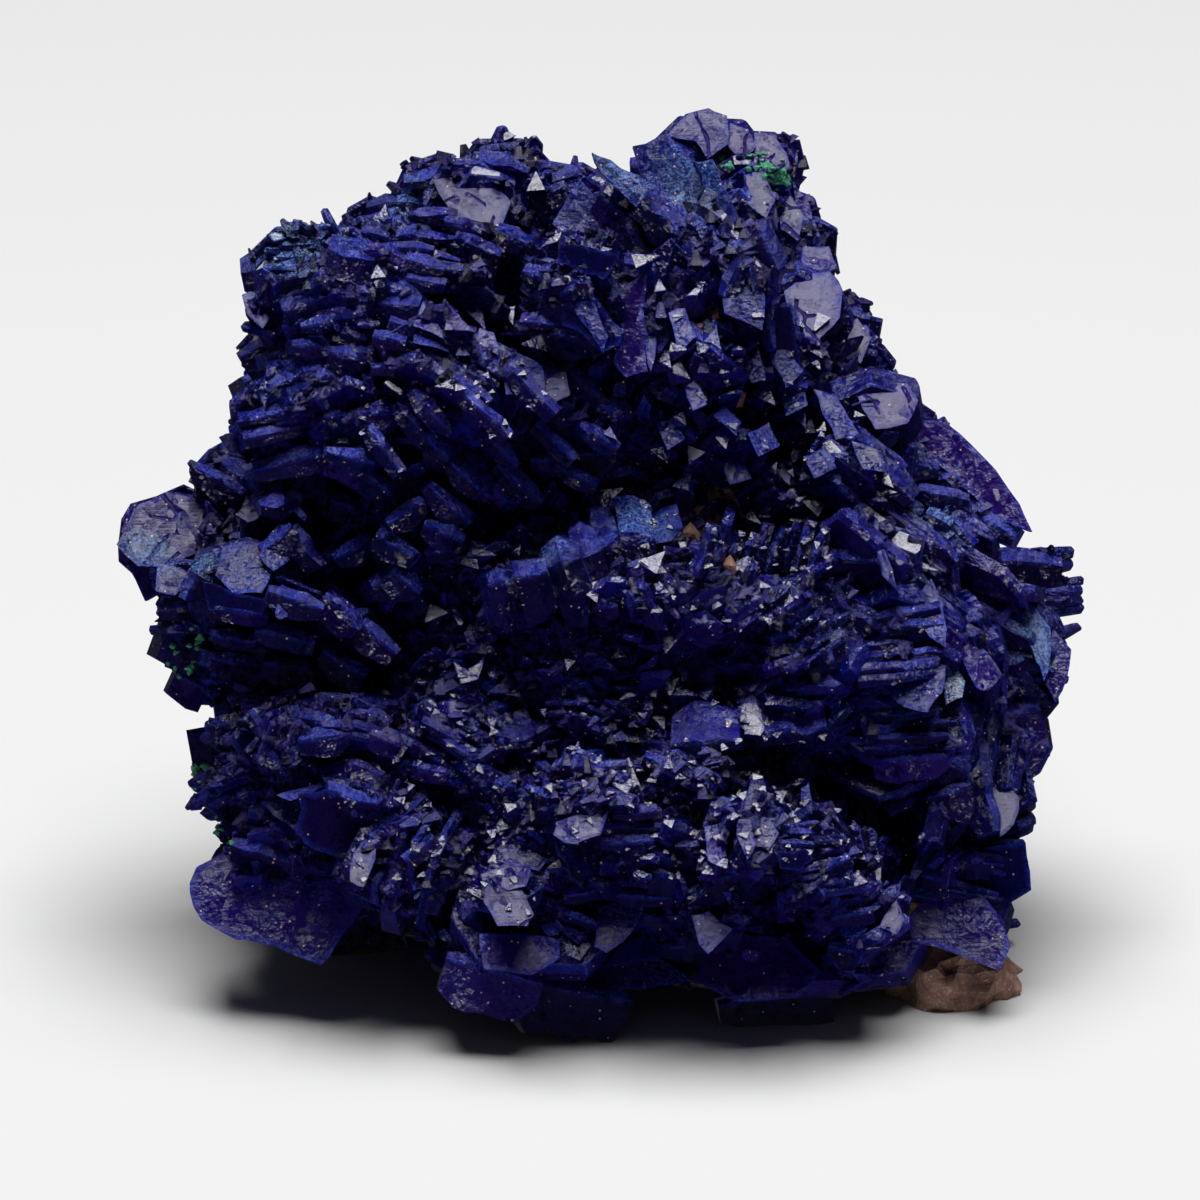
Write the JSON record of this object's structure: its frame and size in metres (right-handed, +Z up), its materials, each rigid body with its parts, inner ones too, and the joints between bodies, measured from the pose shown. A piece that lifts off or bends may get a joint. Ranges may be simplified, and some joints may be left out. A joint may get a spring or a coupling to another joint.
{
  "type": "azurite specimen",
  "caption": "Hand-size cluster of dark blue azurite: bladed and tabular crystals grown together in fans and stacks, cut flat below, with a lump of tan clay at one corner.",
  "frame": {"origin": "on the flat base, below the middle of the specimen", "axes": "+Z up from the base, +X to the right seen from the front, -Y towards the front"},
  "size_m": [0.0632, 0.0461, 0.0556],
  "materials": {
    "azurite": "vitreous crystal faces, dark ultramarine, with paler dusty edges",
    "clay": "matt tan clay"
  },
  "bodies": {
    "root": {"azurite_crystals": "azurite", "clay_matrix": "clay"}
  },
  "joints": []
}
